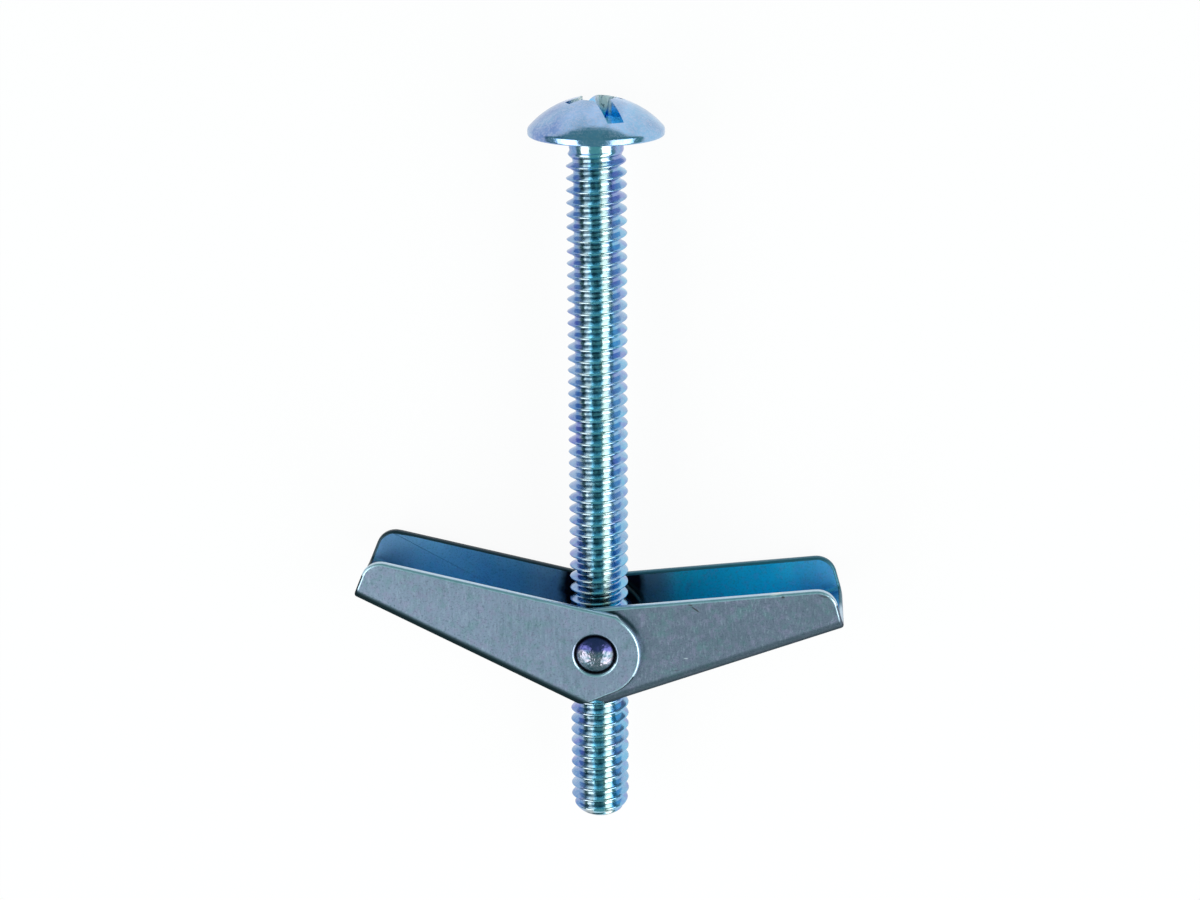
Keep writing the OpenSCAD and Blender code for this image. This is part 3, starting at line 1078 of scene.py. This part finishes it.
# %% Wire sizes, from the wings' own slopes
WIRE_R = 0.24 * MM
COIL_R = SHOULDER_R + 0.27 * MM
COIL_FIRST = 3.55 * MM
COIL_LAST = 4.09 * MM
LEG = 9.0 * MM
BEND_R = 0.84 * MM
LEFT_LEG = math.radians(16.5)
RIGHT_LEG = math.radians(10.4)
COIL_STEPS = 96
LEG_STEPS = 24
BEND_STEPS = 8
print("coil radius in mm:", round(COIL_R / MM, 2))


# %% Wire tree
def wire_tree():
    tree, given = new_tree("wire", ["Wire radius"], ["Sides"])
    path = step(tree, "GeometryNodeMeshToCurve", {"Mesh": given["Geometry"]})[0]
    round_wire = {"Resolution": given["Sides"], "Radius": given["Wire radius"]}
    ring = step(tree, "GeometryNodeCurvePrimitiveCircle", round_wire)[0]
    sweep = {"Curve": path, "Profile Curve": ring, "Fill Caps": True}
    end_tree(tree, step(tree, "GeometryNodeCurveToMesh", sweep)[0], given["Finish"])
    return tree


# %% Paths of the wire
def leg_way(side, angle):
    """The direction of a leg. Side is 1 for the right wing and -1 for the left."""
    return Vector((side * math.cos(angle), math.sin(angle), 0))


def leg_foot(side, angle, z):
    """The place where a leg leaves its coil, seen from the pivot."""
    return Vector((COIL_R * side * math.sin(angle), -COIL_R * math.cos(angle), z))


def coil_path(side):
    """A little over one turn, from the right leg's foot to the left leg's."""
    points = []
    for i in range(COIL_STEPS + 1):
        share = i / COIL_STEPS
        angle = 1.5 * math.pi + RIGHT_LEG - share * (2 * math.pi + LEFT_LEG + RIGHT_LEG)
        z = COIL_FIRST + share * (COIL_LAST - COIL_FIRST)
        points.append(Vector((COIL_R * math.cos(angle), COIL_R * math.sin(angle), side * z)))
    return points


def straight(foot, way, length):
    return [foot + way * length * i / LEG_STEPS for i in range(LEG_STEPS + 1)]


def right_path(side):
    return straight(leg_foot(1, RIGHT_LEG, side * COIL_FIRST), leg_way(1, RIGHT_LEG), LEG)


def left_path():
    """Out along the front leg, across the bridge, and back along the other."""
    way = leg_way(-1, LEFT_LEG)
    foot = leg_foot(-1, LEFT_LEG, COIL_LAST)
    half = straight(foot, way, LEG - BEND_R)
    for i in range(1, BEND_STEPS + 1):
        angle = 0.5 * math.pi * i / BEND_STEPS
        out = LEG - BEND_R * (1 - math.sin(angle))
        half.append(foot + way * out - Vector((0, 0, BEND_R * (1 - math.cos(angle)))))
    return half + [Vector((p.x, p.y, -p.z)) for p in reversed(half)]


def path_mesh(name, paths):
    """A mesh of edges only, moved to the pivot."""
    points = []
    edges = []
    for path in paths:
        first = len(points)
        points += [point + Vector((0, PIVOT_Y, 0)) for point in path]
        edges += [(first + i, first + i + 1) for i in range(len(path) - 1)]
    mesh = bpy.data.meshes.new(name)
    mesh.from_pydata(points, edges, [])
    return mesh


# %% Draw the wire
wire_values = {"Wire radius": WIRE_R, "Sides": 14, "Finish": spring_wire}
drawing = wire_tree()
springs = {}
for name, paths in {
    "spring_coils": [coil_path(1), coil_path(-1)],
    "spring_left_legs": [left_path()],
    "spring_right_legs": [right_path(1), right_path(-1)],
}.items():
    piece = run_tree(name, drawing, wire_values, path_mesh(name, paths))
    open_edges = outward(piece.data)
    shade(piece, 60)
    springs[name] = piece
    print(name, len(piece.data.polygons), "faces,", open_edges, "open edges")

# %% [markdown]
# ## Floor and light
#
# The bolt lies on a white table and leaves only a faint shadow there. More light
# would make the table as white, but would wash out the metal. So the camera and
# the polished metal see it mostly as a plain glow, and the lamps stay weak. Two
# long soft boxes stand on either side of the camera, which gives the screw its
# pair of bright lines, and the cool room between them stays darker.

# %% Table
GLOW_SHARE = 0.94
TABLE_HALF = 1.5


def white_table():
    shader = Shader("white_table")
    path = shader.make("LightPath", {}, [], output="Is Camera Ray")
    glossy = shader.make("LightPath", {}, [], output="Is Glossy Ray")
    plain = shader.make("BsdfDiffuse", {}, {"Color": rgba(0.92, 0.92, 0.92)})
    glow = shader.make("Emission", {}, {"Color": rgba(1, 1, 1), "Strength": 1.0})
    share = ((path + glossy) * GLOW_SHARE).clamped()
    both = shader.make("MixShader", {}, [share, plain, glow])
    shader.make("OutputMaterial", {}, {"Surface": both})
    return shader.material


table_z = min(cad_low.z, 0) - 0.02 * MM
table_mesh = bpy.data.meshes.new("table")
corners = [(-1, -1), (1, -1), (1, 1), (-1, 1)]
table_mesh.from_pydata(
    [(x * TABLE_HALF, y * TABLE_HALF, table_z) for x, y in corners], [], [(0, 1, 2, 3)]
)
table = placed("table", table_mesh)
dress(table, white_table())
print("table at z =", round(table_z / MM, 2), "mm")

# %% Lamps
BOX_WIDTH = 0.44
BOX_LENGTH = 1.1
BOX_Y = -0.42


def strip_box(name, x, z, power):
    """A soft box that looks at the Y axis. Its long side runs along Y, as the screw does."""
    lamp = bpy.data.lights.new(name, "AREA")
    lamp.shape = "RECTANGLE"
    lamp.size = BOX_WIDTH
    lamp.size_y = BOX_LENGTH
    lamp.energy = power
    box = placed(name, lamp)
    back = Vector((x, 0, z)).normalized()
    side = Vector((0, 1, 0)).cross(back).normalized()
    turn = Matrix((side, back.cross(side), back)).transposed()
    box.matrix_world = Matrix.Translation((x, BOX_Y, z)) @ turn.to_4x4()
    print(name, round(math.hypot(x, z), 2), "m from the screw,", power, "W")


strip_box("box_left", -0.475, 0.459, 4.6)
strip_box("box_right", 0.498, 0.433, 5.0)

# %% Room
world = bpy.data.worlds.new("room")
scene.world = world
world.use_nodes = True
room = world.node_tree.nodes["Background"]
room.inputs["Color"].default_value = rgba(0.45, 1.0, 0.95)
room.inputs["Strength"].default_value = 0.3

# past the table's end the camera sees plain white too
beyond = world.node_tree.nodes.new("ShaderNodeBackground")
beyond.inputs["Color"].default_value = rgba(0.98, 1.0, 0.99)
ray = world.node_tree.nodes.new("ShaderNodeLightPath")
seen = world.node_tree.nodes.new("ShaderNodeMixShader")
join = world.node_tree.links.new
join(ray.outputs["Is Camera Ray"], seen.inputs["Fac"])
join(room.outputs["Background"], seen.inputs[1])
join(beyond.outputs["Background"], seen.inputs[2])
join(seen.outputs["Shader"], world.node_tree.nodes["World Output"].inputs["Surface"])
scene.view_settings.view_transform = "Standard"
print("room light:", round(room.inputs["Strength"].default_value, 2))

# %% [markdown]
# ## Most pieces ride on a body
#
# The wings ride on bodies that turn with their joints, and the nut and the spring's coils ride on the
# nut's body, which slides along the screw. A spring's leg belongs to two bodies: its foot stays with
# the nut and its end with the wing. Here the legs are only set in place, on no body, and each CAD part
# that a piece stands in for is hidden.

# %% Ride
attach(wings["left_wing_pressed"], "wing_left")
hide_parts("left_wing")
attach(wings["right_wing_pressed"], "wing_right")
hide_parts("right_wing")
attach(nut, "nut")
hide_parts("trunnion_nut")
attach(springs["spring_coils"], "nut")
for name, side, angle, wing in (
    ("spring_left_legs", -1, LEFT_LEG, "wing_left"),
    ("spring_right_legs", 1, RIGHT_LEG, "wing_right"),
):
    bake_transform(springs[name])
for piece in springs.values():
    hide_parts("spring")
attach(screw, "screw")
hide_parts("machine_screw")
